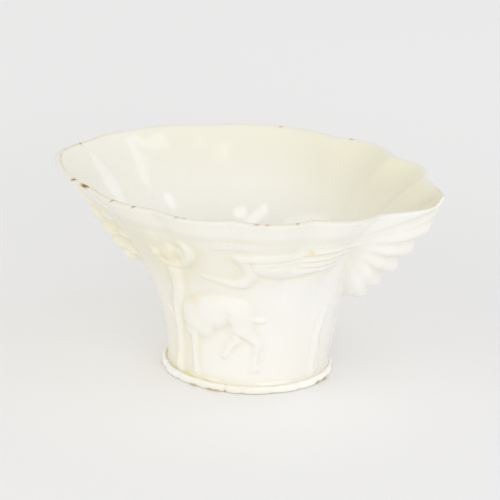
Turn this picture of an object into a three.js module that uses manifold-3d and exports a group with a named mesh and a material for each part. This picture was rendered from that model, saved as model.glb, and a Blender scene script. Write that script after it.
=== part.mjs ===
// A white glazed porcelain libation cup of horn form, in millimetres, +Z up.
// The foot stands on z = 0 with its centre on the origin. -X is the pouring lip, +X the fluted end,
// and -Y the side with the deer. The wall flares from an oval stem to a lobed, leaf-shaped mouth.
// The ornament was pressed in moulds and stuck on with slip, so each sprig is a solid of its own,
// drawn flat and then wrapped round the wall.
import * as THREE from 'three';
import { LoftGeometry } from 'three/addons/geometries/LoftGeometry.js';
import { TessellateModifier } from 'three/addons/modifiers/TessellateModifier.js';
import { mergeVertices } from 'three/addons/utils/BufferGeometryUtils.js';
import Module from 'manifold-3d';

const wasm = await Module();
wasm.setup();

// Overall sizes
const mouthLength = 126;
const mouthWidth = 91;
const cupHeight = 64.7;
const lipDroop = 1.5;
const flutedDroop = 1.9;
const lipLift = 1.6;
const flutedLift = 2.7;
const stemLength = 52;
const stemWidth = 44.8;
const stemShift = 0.7;
const footOverhang = 1.5;
const footHeight = 2.4;

// Wall, rim and floor
const stemWall = 3.4;
const rimWall = 2.2;
const tipThinning = 0.5;
const rimRounding = 0.7;
const floorThickness = 3.6;
const wellFillet = 8;
const floorRise = 0.2;
const bandHeight = 7.7;
const bandProud = 0.5;
const bandBlend = 1.2;
const slip = 0.35;

// Foot plate
const footScallops = 11;
const footScallopDepth = 0.5;
const footEdgeRounding = 0.8;
const footStep = 0.9;
const footCrown = 0.1;
const recessDepth = 0.8;
const recessSag = 0.1;
const footRingWidth = 5;

// How sharply the mouth runs to a point at each end, on the far and the near side
const farLipPoint = 0.9;
const nearLipPoint = 1.28;
const sidePoint = 1.4;
const farFlutedPoint = 1.7;
const nearFlutedPoint = 1.28;

// How late the wall flares at each end and at the sides
const lipFlare = 2.25;
const sideFlare = 2.2;
const flutedFlare = 1.85;

// The hand-cut lobes of the rim: the notches between them, in degrees from the fluted end
const farNotches = [30, 51, 76, 120, 144, 164];
const nearNotches = [36, 56, 80, 104, 132];
const lipLobeDepth = 1.5;
const sideLobeDepth = 2.2;
const flutedLobeDepth = 2.4;
const lobeFullness = 0.7;

// The drawing of the ornament: its scale round the cup and the heights between which it is drawn
const drawnRadius = 30;
const drawnBottom = 2.7;
const drawnTop = 57;
const longestEdge = 4;
const sprigSides = 4;
const rollStep = 3.6;
const endReaches = [0.95, 0.7];

// Facets
const aroundCount = 90;
const outsideCount = 9;
const insideCount = 7;
const scallopCount = 6;

const footLength = stemLength + 2 * footOverhang;
const footWidth = stemWidth + 2 * footOverhang;
const stemBottom = footHeight + slip;
const floorTop = stemBottom + floorThickness;
const bandBottom = cupHeight - bandHeight;
const degrees = Math.PI / 180;

const porcelain = { color: 0xf3f0e2, roughness: 0.18, metalness: 0 };

const { lerp, smoothstep } = THREE.MathUtils;

// A value that runs from the lip through the sides to the fluted end
function alongCup(angle, atLip, atSides, atFluted) {
  const toFluted = Math.cos(angle);
  return toFluted < 0 ? lerp(atSides, atLip, -toFluted) : lerp(atSides, atFluted, toFluted);
}

const notches = [...farNotches, ...nearNotches.map((notch) => 360 - notch)].sort((a, b) => a - b);

// How far a lobe swells at this angle: 0 in a notch and 1 at the crown of the lobe
function lobeSwell(angle) {
  const turn = THREE.MathUtils.euclideanModulo(angle / degrees, 360);
  const next = notches.findIndex((notch) => notch > turn);
  const last = notches.length - 1;
  const start = next > 0 ? notches[next - 1] : notches[last] - (next === 0 ? 360 : 0);
  const end = next >= 0 ? notches[next] : notches[0] + 360;
  return Math.sin(Math.PI * (turn - start) / (end - start)) ** lobeFullness;
}

// The plan of the mouth, without its lobes
function mouthPlan(angle) {
  const point = Math.sin(angle) > 0
    ? alongCup(angle, farLipPoint, sidePoint, farFlutedPoint)
    : alongCup(angle, nearLipPoint, sidePoint, nearFlutedPoint);
  const across = Math.sign(Math.sin(angle)) * Math.abs(Math.sin(angle)) ** point;
  return new THREE.Vector2(mouthLength / 2 * Math.cos(angle), mouthWidth / 2 * across);
}

function ellipse(angle, length, width) {
  return new THREE.Vector2(length / 2 * Math.cos(angle), width / 2 * Math.sin(angle));
}

// The direction away from the middle, square to an ellipse of the mouth's proportions
function outwardInPlan(angle) {
  const outward = mouthPlan(angle);
  return new THREE.Vector2(outward.x / mouthLength ** 2, outward.y / mouthWidth ** 2).normalize();
}

// How far up the wall a height lies, from 0 at the foot to 1 at the rim
function riseAt(height) {
  return THREE.MathUtils.clamp((height - stemBottom) / (cupHeight - stemBottom), 0, 1);
}

// The plan of the wall at a height, which the outside and the inside are measured from
function wallPlan(angle, height) {
  const flare = riseAt(height) ** alongCup(angle, lipFlare, sideFlare, flutedFlare);
  const depth = alongCup(angle, lipLobeDepth, sideLobeDepth, flutedLobeDepth);
  const lobes = outwardInPlan(angle).multiplyScalar(depth * (lobeSwell(angle) - lobeFullness));
  const mouth = mouthPlan(angle).add(lobes);
  const stem = ellipse(angle, stemLength, stemWidth);
  stem.x += stemShift;
  return stem.lerp(mouth, flare);
}

// How near an angle is to one end of the mouth: 1 at the end, falling off faster the keener it is
function nearEnd(angle, end, keenness) {
  return Math.max(0, Math.cos(angle - end * degrees)) ** keenness;
}

// The very tips of the rim turn up
function tipLift(angle) {
  const keenness = Math.sin(angle) > 0 ? 22 : 60;
  return flutedLift * nearEnd(angle, 0, keenness) + lipLift * nearEnd(angle, 186, 24);
}

// The heavy ends of the mouth sank a little in the kiln, apart from the tips
function drooped(plan, angle, height) {
  const most = Math.cos(angle) < 0 ? lipDroop : flutedDroop;
  const droop = most * Math.cos(angle) ** 4 * riseAt(height) ** 2;
  const lift = tipLift(angle) * riseAt(height) ** 6;
  return new THREE.Vector3(plan.x, plan.y, height - droop + lift);
}

function outside(angle, height) {
  const band = bandProud * smoothstep(height, bandBottom - bandBlend, bandBottom + bandBlend);
  const plan = wallPlan(angle, height).addScaledVector(outwardInPlan(angle), band);
  return drooped(plan, angle, height);
}

function inside(angle, height, inset = 0) {
  const plan = wallPlan(angle, height);
  const thinned = 1 - tipThinning * nearEnd(angle, 0, 12) * riseAt(height) ** 2;
  plan.addScaledVector(outwardInPlan(angle), -thinned * lerp(stemWall, rimWall, riseAt(height)));
  return drooped(plan.multiplyScalar(1 - inset), angle, height);
}

// One level ring of points, counter-clockwise from above
function ring(pointAt, count = aroundCount) {
  return Array.from({ length: count }, (_, i) => pointAt(2 * Math.PI * i / count));
}

// The cup: up the outside, over the rounded rim, down the inside and across the dished floor
function cupBody() {
  const sections = [];
  const shoulder = cupHeight - rimRounding;
  const underBand = bandBottom - bandBlend;
  const heights = Array.from({ length: outsideCount }, (_, i) => lerp(stemBottom, underBand, i / outsideCount));
  for (const height of [...heights, underBand, bandBottom + bandBlend, shoulder]) {
    sections.push(ring((angle) => outside(angle, height)));
  }
  const overRim = (share) => ring((angle) => {
    const edge = outside(angle, shoulder).lerp(inside(angle, shoulder), share);
    edge.z += rimRounding * Math.sin(Math.PI * share);
    return edge;
  });
  sections.push(overRim(0.25), overRim(0.75));
  const wellTop = floorTop + wellFillet;
  for (let i = 0; i <= insideCount; i++) {
    const height = lerp(shoulder, wellTop, i / insideCount);
    sections.push(ring((angle) => inside(angle, height)));
  }
  for (const turn of [30, 60, 80]) {
    const height = wellTop - wellFillet * Math.sin(turn * degrees);
    sections.push(ring((angle) => inside(angle, height, 1 - Math.cos(turn * degrees))));
  }
  const middle = (angle) => inside(angle, floorTop, 1 - Math.cos(85 * degrees)).setZ(floorTop + floorRise);
  sections.push(ring(middle));
  return new LoftGeometry(sections, { capStart: true, capEnd: true });
}

// The foot: a thin plate with a scalloped, rounded edge, hollowed a little underneath
function footPlate() {
  const edge = (height, inset) => ring((angle) => {
    const scallop = footScallopDepth * Math.abs(Math.sin(footScallops * angle / 2));
    const plan = ellipse(angle, footLength - 2 * inset, footWidth - 2 * inset);
    plan.setLength(plan.length() - footScallopDepth + scallop);
    return new THREE.Vector3(plan.x, plan.y, height);
  }, footScallops * scallopCount);
  const roundingTop = footHeight - footEdgeRounding;
  return new LoftGeometry([
    edge(recessDepth - recessSag, footWidth / 4),
    edge(recessDepth, footRingWidth),
    edge(0, footRingWidth),
    edge(0, footEdgeRounding / 2),
    edge(footEdgeRounding / 2, 0),
    edge(roundingTop, 0),
    edge(footHeight - footCrown, footStep),
    edge(footHeight, footRingWidth),
  ], { capStart: true, capEnd: true });
}

// A closed mesh as a solid that can be joined to others, and back
function toSolid(geometry) {
  const bare = new THREE.BufferGeometry();
  bare.setAttribute('position', geometry.getAttribute('position'));
  bare.setIndex(geometry.index);
  const merged = mergeVertices(bare);
  return new wasm.Manifold(new wasm.Mesh({
    numProp: 3,
    vertProperties: merged.attributes.position.array,
    triVerts: merged.index.array,
  }));
}

function toGeometry(solid) {
  const mesh = solid.getMesh();
  const geometry = new THREE.BufferGeometry();
  geometry.setAttribute('position', new THREE.BufferAttribute(mesh.vertProperties, 3));
  geometry.setIndex(new THREE.BufferAttribute(mesh.triVerts, 1));
  return geometry;
}

// A value part of the way along a short list that is spread evenly from start to end
function spread(values, share) {
  const place = share * (values.length - 1);
  const index = Math.min(Math.floor(place), values.length - 2);
  return lerp(values[index], values[index + 1], place - index);
}

// One roll of clay in the flat drawing: half round, with a flat back at depth 0 and round ends.
// Points are [degrees round the cup from the middle of the front, height]. The half widths and the
// depths of relief are spread evenly along it.
function roll(points, halfWidths, reliefs) {
  const places = points.map(([turn, height]) => new THREE.Vector3(turn * degrees * drawnRadius, height, 0));
  const curve = new THREE.CatmullRomCurve3(places);
  const steps = Math.max(1, Math.round(curve.getLength() / rollStep));
  const stations = Array.from({ length: steps + 1 }, (_, i) => [i / steps, 0]);
  stations.unshift(...endReaches.map((reach) => [0, -reach]));
  stations.push(...endReaches.map((reach) => [1, reach]).reverse());
  const sections = stations.map(([share, reach]) => {
    const swell = Math.sqrt(1 - reach ** 2);
    const width = spread(halfWidths, share);
    const relief = swell * spread(reliefs, share);
    const tangent = curve.getTangentAt(share);
    const place = curve.getPointAt(share).addScaledVector(tangent, reach * width);
    const side = new THREE.Vector3(-tangent.y, tangent.x, 0).normalize();
    return Array.from({ length: sprigSides + 1 }, (_, k) => {
      const turn = Math.PI * k / sprigSides;
      const aside = swell * width * Math.cos(turn);
      return place.clone().addScaledVector(side, aside).setZ(relief * Math.sin(turn));
    });
  });
  return new LoftGeometry(sections, { capStart: true, capEnd: true });
}

function outwardOnWall(angle, height) {
  const step = 0.01;
  const around = outside(angle + step, height).sub(outside(angle - step, height));
  const up = outside(angle, height + step).sub(outside(angle, height - step));
  return around.cross(up).normalize();
}

// From the flat drawing to the wall, with a film of slip behind
function wrapOnWall(geometry) {
  const stretch = (bandBottom - stemBottom) / (drawnTop - drawnBottom);
  const position = geometry.attributes.position;
  for (let i = 0; i < position.count; i++) {
    const angle = position.getX(i) / drawnRadius - Math.PI / 2;
    const height = stemBottom + (position.getY(i) - drawnBottom) * stretch;
    const place = outside(angle, height).addScaledVector(outwardOnWall(angle, height), slip + position.getZ(i));
    position.setXYZ(i, place.x, place.y, place.z);
  }
  return geometry;
}

// Rolls pressed together into one sprig
function sprig(rolls) {
  const flat = rolls.map(([points, halfWidths, reliefs]) => toSolid(roll(points, halfWidths, reliefs)));
  const joined = toGeometry(flat.reduce((whole, part) => whole.add(part)));
  const fine = new TessellateModifier(longestEdge, 8).modify(joined);
  const wrapped = mergeVertices(wrapOnWall(fine), 1e-4);
  wrapped.computeVertexNormals();
  return wrapped;
}

// Sprigs on the near side

// The deer grazes beside the pine, with one hind leg lifted
function deer() {
  return sprig([
    [[[-15, 24.8], [-8, 26.8], [2, 28.6], [9.6, 27.8]], [4.8, 5.4, 5.4, 4.8], [1.6, 2, 1.8, 1.9]],
    [[[-17, 24], [-15, 20.6]], [4.8, 3.6], [1.8, 1.4]],
    [[[-18, 25], [-22, 22.6]], [3.4, 2.4], [1.6, 1.4]],
    [[[-22.6, 22], [-24, 18.6]], [1.9, 1.2], [1.4, 1.1]],
    [[[-19.5, 19], [-21, 13], [-21.4, 8], [-21, 4.8]], [1.8, 1, 0.9, 1.1], [1.3, 1, 0.9, 0.9]],
    [[[11.4, 27], [12.8, 22.4]], [4.5, 3.6], [1.9, 1.6]],
    [[[14.4, 21.4], [20, 18.7], [23.2, 17], [22, 13], [21, 8.6]],
      [2.4, 1.6, 1.2, 0.9, 1.3], [1.5, 1.2, 1.1, 0.9, 0.9]],
    [[[8, 21.6], [10, 18.4], [5.4, 15.6], [1, 12]], [1.7, 1.2, 1, 1.2], [1.3, 1.1, 1, 0.9]],
    [[[15, 27.6], [20.4, 25.9], [25.8, 25]], [1.2, 1, 0.7], [1.2, 1, 0.8]],
  ]);
}

function pineTrunk() {
  return sprig([
    [[[-25, 39.6], [-24.4, 36], [-28.6, 30], [-32.6, 23], [-35, 14], [-38, 4.9]],
      [1.9, 2, 2, 1.9, 2, 2.3], [1.6, 1.7, 1.5, 1.4, 1.3, 1.5]],
    [[[-33, 18], [-39, 23], [-43, 24]], [0.9, 0.8, 0.7], [1, 0.9, 0.7]],
  ]);
}

function pineCrown() {
  return sprig([
    [[[-27, 44], [-20, 43.2], [-12, 44.6]], [1.5, 1.4, 1.3], [1.5, 1.5, 1.4]],
    [[[-26, 44], [-28.6, 46.6], [-25.6, 48.8], [-22.6, 47.4]], [1.3, 1.1, 1, 0.9], [1.6, 1.4, 1.3, 1.2]],
    [[[-19.4, 44], [-16.6, 49.4]], [1.5, 1.3], [1.5, 1.3]],
    [[[-13, 44.6], [-8.4, 47], [-7.4, 50.4], [-9.6, 52.4]], [1.3, 1.2, 1, 0.9], [1.6, 1.5, 1.3, 1.2]],
    [[[-25, 46.2], [-11, 48]], [1.6, 1.6], [1.1, 1.1]],
  ]);
}

function crane() {
  return sprig([
    [[[-4, 41], [2, 39], [9, 38.2], [15, 39]], [0.6, 0.9, 1.4, 1.8], [0.8, 1, 1.4, 1.8]],
    [[[14, 38.6], [18.4, 41.6], [15, 45.4], [11.6, 49.4]], [2, 1.7, 1.5, 1.5], [1.8, 1.7, 1.5, 1.4]],
    [[[12, 49.4], [19, 49.4], [26, 49.6]], [1.6, 2, 1.4], [1.4, 1.7, 1.3]],
  ]);
}

// Long feathers, each a little lower and longer than the one above
function craneWing() {
  const feathers = [
    [[[33, 49.4], [42, 50.4], [52, 51.8]], [1.5, 1.4, 0.7], [1.4, 1.3, 0.8]],
    [[[24.5, 45.4], [38, 47.2], [52, 49.8]], [1.3, 1.5, 0.7], [1.2, 1.4, 0.8]],
    [[[23, 43.4], [36, 44.4], [51, 48]], [1.1, 1.4, 0.7], [1.1, 1.3, 0.8]],
    [[[24, 41.6], [34, 41.8], [48, 45]], [1, 1.4, 0.7], [1, 1.2, 0.8]],
    [[[36, 49.6], [34, 43]], [1.8, 1.6], [1.1, 1]],
  ];
  return sprig(feathers);
}

// A twig under the rim band with short needles along it
function needleSpray() {
  const twigHeight = 53.6;
  const twig = [[[9, twigHeight], [28, twigHeight], [46, twigHeight + 0.6]], [0.5, 0.6, 0.5], [0.7, 0.8, 0.7]];
  const needles = [13, 20, 27, 34, 41].map((turn) => {
    return [[[turn, twigHeight], [turn + 2.4, twigHeight + 1]], [0.7, 0.6], [0.8, 0.6]];
  });
  return sprig([twig, ...needles]);
}

function prunusTrunk() {
  return sprig([
    [[[63, 28], [65.4, 21], [67.6, 12], [68, 4.8]], [0.9, 1.4, 1.5, 1.8], [1, 1.5, 1.5, 1.5]],
    [[[66.4, 17], [71.4, 12], [73, 5]], [1, 0.8, 0.9], [1.1, 0.9, 0.9]],
  ]);
}

// Under the ends of the mouth

function lipBranch() {
  return sprig([
    [[[-82, 53], [-78, 48], [-74, 43], [-70, 38.5]], [2.2, 2.8, 2.8, 2.2], [2.6, 4.2, 4.4, 3.4]],
    [[[-77, 48], [-66, 51], [-56, 51.6]], [1.4, 1.2, 1], [2, 1.5, 1.1]],
    [[[-73, 43], [-62, 46], [-53, 46.4]], [1.3, 1.2, 1], [2, 1.5, 1.1]],
    [[[-77, 46], [-90, 47], [-100, 51]], [1.4, 1.3, 1], [2.4, 1.8, 1.2]],
    [[[-72, 40], [-82, 39], [-92, 41]], [1.4, 1.2, 1], [2.2, 1.6, 1.1]],
    [[[-66, 41], [-61, 40]], [1.9, 1.6], [2.2, 1.7]],
  ]);
}

// A shell of rounded ribs that spread from a root on each side and meet on the keel of the cup
function shellEnd() {
  const ribTops = [30.6, 36.4, 42.1, 48.2, 54, 59.4];
  const ribReliefs = [3.2, 4.6, 5.4, 5.2, 4.5, 2.5];
  const lowestRoot = 44.5;
  const highestRoot = 53.5;
  const keel = 90;
  const rootSpread = 32;
  const ribs = ribTops.map((top, i) => {
    const share = i / (ribTops.length - 1);
    const root = lerp(lowestRoot, highestRoot, share);
    const spreadHere = rootSpread - 9 * (1 - share);
    const waist = lerp(root, top, 0.62);
    const relief = ribReliefs[i];
    const path = [
      [keel - spreadHere, root], [keel - spreadHere / 2, waist], [keel, top],
      [keel + spreadHere / 2, waist], [keel + spreadHere, root],
    ];
    return [path, [1.6, 2.6, 3.3, 2.6, 1.6], [1, relief * 0.75, relief, relief * 0.75, 1]];
  });
  return sprig(ribs);
}

// Sprigs on the far side

function tiger() {
  return sprig([
    [[[166, 19], [178, 17.5], [190, 18.5], [198, 17]], [3.4, 3, 3.3, 3], [1.9, 1.6, 1.8, 1.6]],
    [[[161, 22], [166, 21]], [3, 2.8], [2, 1.8]],
    [[[158, 24.6], [159, 25.4]], [0.9, 0.8], [1.6, 1.4]],
    [[[165, 24.8], [165.6, 25.6]], [0.9, 0.8], [1.6, 1.4]],
    [[[166, 17], [163, 11], [162, 5]], [1.7, 1.3, 1.4], [1.4, 1.1, 1]],
    [[[171, 16], [172, 10], [170, 5]], [1.6, 1.2, 1.3], [1.2, 1, 1]],
    [[[191, 16], [188, 10], [190, 5]], [1.7, 1.3, 1.3], [1.3, 1, 1]],
    [[[197, 15], [200, 10], [198, 5]], [1.8, 1.3, 1.4], [1.4, 1.1, 1]],
    [[[200, 18], [207, 21], [206, 27], [200, 29]], [1.1, 1, 0.9, 0.9], [1.2, 1.1, 1, 0.9]],
  ]);
}

function dragon() {
  return sprig([
    [[[148, 45], [158, 49], [168, 43], [178, 39], [190, 44], [200, 49], [210, 45], [220, 41]],
      [2, 1.9, 1.9, 2, 1.8, 1.5, 1.1, 0.7], [1.8, 1.7, 1.7, 1.7, 1.6, 1.4, 1.1, 0.8]],
    [[[148, 45.4], [142, 44]], [2.3, 1.6], [2, 1.6]],
    [[[148, 47], [152, 51.4]], [0.9, 0.6], [1.4, 0.9]],
    [[[165, 44], [159, 41], [157, 38]], [1.1, 0.9, 1.1], [1.3, 1, 0.9]],
    [[[187, 42], [193, 39], [192, 36]], [1.1, 0.9, 1.1], [1.3, 1, 0.9]],
    [[[176, 40], [172, 36], [174, 33]], [1.1, 0.9, 1.1], [1.3, 1, 0.9]],
  ]);
}

function farTrunk() {
  return sprig([
    [[[124, 30], [120, 22], [118, 12], [121, 4.9]], [1, 1.4, 1.5, 1.9], [1.1, 1.5, 1.5, 1.5]],
    [[[119, 18], [126, 13.5], [128, 9]], [1, 0.8, 0.8], [1.1, 0.9, 0.8]],
  ]);
}

const cup = new THREE.Group();

function place(name, geometry, finish = porcelain) {
  const mesh = new THREE.Mesh(geometry, new THREE.MeshStandardMaterial(finish));
  mesh.name = name;
  cup.add(mesh);
}

place('cup_body', cupBody());
place('foot_plate', footPlate());
place('shell_end', shellEnd());
place('lip_branch', lipBranch());
place('deer', deer());
place('pine_trunk', pineTrunk());
place('pine_crown', pineCrown());
place('crane', crane());
place('crane_wing', craneWing());
place('needle_spray', needleSpray());
place('prunus_trunk', prunusTrunk());
place('tiger', tiger());
place('dragon', dragon());
place('far_trunk', farTrunk());

export default cup;
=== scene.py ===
"""A white glazed porcelain libation cup of horn form, on a pale floor in soft studio light.

The wall is a sheet of clay bent to the cup's lobed, flared form. Each pressed sprig is a sheet of its
own, raised in soft relief and laid on the wall under the same glaze. Sizes are in millimetres until a mesh
is made. Turns go round the cup from the fluted end (+X); the drawing of the relief counts its degrees from
the middle of the deer's side (-Y)."""

import math

import bpy
import numpy as np
from mathutils import Euler, Matrix


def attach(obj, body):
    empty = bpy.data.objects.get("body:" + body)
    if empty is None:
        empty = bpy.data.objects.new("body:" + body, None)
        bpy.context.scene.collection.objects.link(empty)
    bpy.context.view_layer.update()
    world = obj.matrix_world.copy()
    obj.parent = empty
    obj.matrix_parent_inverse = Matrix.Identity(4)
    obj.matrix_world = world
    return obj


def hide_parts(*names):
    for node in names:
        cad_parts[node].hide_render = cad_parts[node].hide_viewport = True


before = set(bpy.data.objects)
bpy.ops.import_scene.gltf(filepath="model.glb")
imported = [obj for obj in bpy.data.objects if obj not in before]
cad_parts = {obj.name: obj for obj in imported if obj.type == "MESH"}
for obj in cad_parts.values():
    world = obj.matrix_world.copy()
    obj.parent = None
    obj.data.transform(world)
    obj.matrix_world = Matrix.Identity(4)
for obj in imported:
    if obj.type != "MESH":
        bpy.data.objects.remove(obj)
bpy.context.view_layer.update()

# Sizes of the cup
mouth_length = 126
mouth_width = 91
cup_height = 64.7
lip_droop = 1.5
fluted_droop = 2.57
stem_length = 52
stem_width = 44.8
stem_shift = 0.7
foot_overhang = 1.5
foot_height = 2.4
slip = 0.35
stem_wall = 3.4
rim_wall = 2.2
rim_rounding = 0.7
rim_crown = 0.4
floor_thickness = 3.6
well_fillet = 8
band_bottom = 57
band_proud = 0.42
band_blend = 2
stem_bottom = foot_height + slip
floor_top = stem_bottom + floor_thickness

# How the mouth narrows and the wall flares: powers at the lip, at the sides and at the fluted end
far_narrowing = (0.9, 1.4, 1.27)
near_narrowing = (1.28, 1.4, 1.4)
flare_powers = (2.25, 2.2, 2.3)
fluted_reach = 0.2
fluted_reach_power = 8

# The pinch of the stem at the fluted side, and how high it goes
pinch_depth = 0.9
pinch_heights = (3, 15)

# How the rim turns up at its ends; the powers keep the lift near each end and near the rim
lip_lift = 1.6
lip_lift_turn = 6
lip_keenness = 24
lip_lift_power = 6
fluted_lift = 2.8
fluted_far_keenness = 14
fluted_near_keenness = 120
fluted_lift_power = 18

# The lobes of the rim: notches in degrees from the fluted end, on the far and the near side
far_notches = [28, 51, 76, 120, 144, 164]
near_notches = [34, 56, 80, 104, 132]
lip_lobe = 1.5
side_lobe = 2.2
fluted_lobe = 3.05
lobe_fullness = 0.7
notch_softness = 0.06
ridge_softness = 1.4

# The lobes on the inner wall: where they start to fade below the rim, and how far down they go
fade_start = 0.5
softening_depth = 11
fading_depth = 9
far_right_depth = 23
far_right_gain = 0.35
faded_share = 0.8
lip_loss = 0.45

# The wall is thinner at its two ends, and the band fades at the fluted one
fluted_thinning = 0.55
lip_thinning = 0.35
fluted_band_loss = 0.8

# The flat drawing of the relief
drawn_radius = 30
drawn_bottom = 2.7
drawn_top = 57
relief_step = 0.26
glaze_softness = 0.46
sunk_edge = 0.012
fullness = 1.28
dome_power = 1.35
blend_power = 5
drawing_margin = 2.4
crease_limit = 0.75
pool_reach = 1.5
sprig_back = 0.5

metre = 0.001


def along_cup(turn, at_lip, at_sides, at_fluted):
    """A value that runs from the lip through the sides to the fluted end."""
    to_fluted = np.cos(turn)
    to_lip_end = at_sides + (at_lip - at_sides) * -to_fluted
    to_fluted_end = at_sides + (at_fluted - at_sides) * to_fluted
    return np.where(to_fluted < 0, to_lip_end, to_fluted_end)


def smooth(value, low, high):
    share = np.clip((value - low) / (high - low), 0, 1)
    return share * share * (3 - 2 * share)


notch_turns = sorted(far_notches + [360 - notch for notch in near_notches])
notch_ring = np.array([notch_turns[-1] - 360] + notch_turns + [notch_turns[0] + 360])


def lobe_swell(turn, softness):
    """0 in a notch of the rim and 1 at the crown of a lobe, with the notch softened by the glaze."""
    degrees = np.degrees(turn) % 360
    lobe = np.clip(np.searchsorted(notch_ring, degrees, side="right") - 1, 0, len(notch_ring) - 2)
    share = (degrees - notch_ring[lobe]) / (notch_ring[lobe + 1] - notch_ring[lobe])
    arch = np.sin(np.pi * share) ** 2
    low = softness ** (lobe_fullness / 2)
    high = (1 + softness) ** (lobe_fullness / 2)
    return ((arch + softness) ** (lobe_fullness / 2) - low) / (high - low)


def mouth_plan(turn):
    """The outline of the mouth, seen from above, without its lobes."""
    far = along_cup(turn, *far_narrowing)
    near = along_cup(turn, *near_narrowing)
    across = np.sin(turn)
    point = np.where(across > 0, far, near)
    aside = np.sign(across) * np.abs(across) ** point
    tip = fluted_reach * np.clip(np.cos(turn), 0, 1) ** fluted_reach_power
    along = mouth_length / 2 * np.cos(turn) + tip
    return np.stack([along, mouth_width / 2 * aside], -1)


def outward_in_plan(turn):
    outward = mouth_plan(turn) / np.array([mouth_length ** 2, mouth_width ** 2])
    return outward / np.linalg.norm(outward, axis=-1, keepdims=True)


def rise_at(height):
    return np.clip((height - stem_bottom) / (cup_height - stem_bottom), 0, 1)


def wall_plan(turn, height, softness, kept=1.0):
    """The outline of the wall at a height, from the oval stem to the lobed mouth."""
    flare = rise_at(height) ** along_cup(turn, *flare_powers)
    depth = kept * along_cup(turn, lip_lobe, side_lobe, fluted_lobe)
    depth = depth * (lobe_swell(turn, softness) - lobe_fullness)
    mouth = mouth_plan(turn) + outward_in_plan(turn) * depth[..., None]
    pinch = pinch_depth * smooth(np.cos(turn), 0.3, 0.95) * (1 - smooth(height, *pinch_heights))
    half_length = stem_length / 2 - pinch
    stem = np.stack([half_length * np.cos(turn) + stem_shift, stem_width / 2 * np.sin(turn)], -1)
    return stem + (mouth - stem) * flare[..., None]


def end_lift(turn, rise):
    """How far the rim turns up at its two ends."""
    to_fluted = np.clip(np.cos(turn), 0, 1)
    to_lip = np.clip(-np.cos(turn - np.radians(lip_lift_turn)), 0, 1)
    keenness = np.where(np.sin(turn) > 0, fluted_far_keenness, fluted_near_keenness)
    at_fluted = fluted_lift * to_fluted ** keenness * rise ** fluted_lift_power
    at_lip = lip_lift * to_lip ** lip_keenness * rise ** lip_lift_power
    return at_fluted + at_lip


def drooped(plan, turn, height):
    """Gives a plan its height, with the rim lower towards the ends and turned up at the tips."""
    most = np.where(np.cos(turn) < 0, lip_droop, fluted_droop)
    rise = rise_at(height)
    level = height - most * np.cos(turn) ** 4 * rise ** 2 + end_lift(turn, rise)
    return np.concatenate([plan, level[..., None]], -1)


def outside(turn, height):
    turn, height = np.broadcast_arrays(np.asarray(turn, float), np.asarray(height, float))
    band = band_proud * smooth(height, band_bottom - band_blend, band_bottom + band_blend)
    band = band * (1 - fluted_band_loss * smooth(np.cos(turn), 0.72, 0.95))
    plan = wall_plan(turn, height, notch_softness) + outward_in_plan(turn) * band[..., None]
    return drooped(plan, turn, height)


def inside(turn, height, inset=0):
    turn, height = np.broadcast_arrays(np.asarray(turn, float), np.asarray(height, float))
    rise = rise_at(height)
    thickness = stem_wall + (rim_wall - stem_wall) * rise
    thickness = thickness * (1 - fluted_thinning * np.clip(np.cos(turn), 0, 1) ** 12 * rise ** 2)
    thickness = thickness * (1 - lip_thinning * np.clip(-np.cos(turn), 0, 1) ** 4 * rise ** 4)
    far_right = smooth(np.cos(turn), 0.1, 0.6) * smooth(np.sin(turn), 0, 0.3)
    below_rim = cup_height - height
    fade = smooth(below_rim, fade_start, fading_depth + far_right_depth * far_right)
    softened = smooth(below_rim, fade_start, softening_depth)
    softness = notch_softness + (ridge_softness - notch_softness) * softened
    kept = (1 + far_right_gain * far_right) * (1 - faded_share * fade)
    kept = kept * (1 - lip_loss * smooth(-np.cos(turn), 0.2, 0.6))
    plan = wall_plan(turn, height, softness, kept) - outward_in_plan(turn) * thickness[..., None]
    return drooped(plan * (1 - inset), turn, height)


def outward_on_wall(turn, height):
    step = 0.004
    reach = 0.05
    around = outside(turn + step, height) - outside(turn - step, height)
    up = outside(turn, height + reach) - outside(turn, height - reach)
    outward = np.cross(around, up)
    return outward / np.linalg.norm(outward, axis=-1, keepdims=True)


# Sheets of clay


def sheet_of_clay(name, columns, rows):
    """A flat grid, ready to be bent into shape, with the column and the row of each of its points."""
    bpy.ops.object.select_all(action="DESELECT")
    bpy.ops.mesh.primitive_grid_add(x_subdivisions=columns, y_subdivisions=rows, size=1)
    piece = bpy.context.object
    piece.name = name
    flat = np.empty(len(piece.data.vertices) * 3)
    piece.data.vertices.foreach_get("co", flat)
    flat = flat.reshape(-1, 3)
    column = np.rint((flat[:, 0] + 0.5) * columns).astype(int)
    row = np.rint((flat[:, 1] + 0.5) * rows).astype(int)
    return piece, column, row


def bend(piece, places):
    """Moves every point of the sheet to its place, given in millimetres."""
    piece.data.vertices.foreach_set("co", (places * metre).ravel())
    piece.data.update()


def mark(piece, name, values):
    layer = piece.data.attributes.new(name, "FLOAT", "POINT")
    layer.data.foreach_set("value", np.asarray(values, np.float32))


def close_seams(piece):
    bpy.ops.object.mode_set(mode="EDIT")
    bpy.ops.mesh.select_all(action="SELECT")
    bpy.ops.mesh.remove_doubles(threshold=1e-6)
    bpy.ops.mesh.normals_make_consistent(inside=False)
    bpy.ops.object.mode_set(mode="OBJECT")
    bpy.ops.object.shade_smooth()


# Relief


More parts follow.
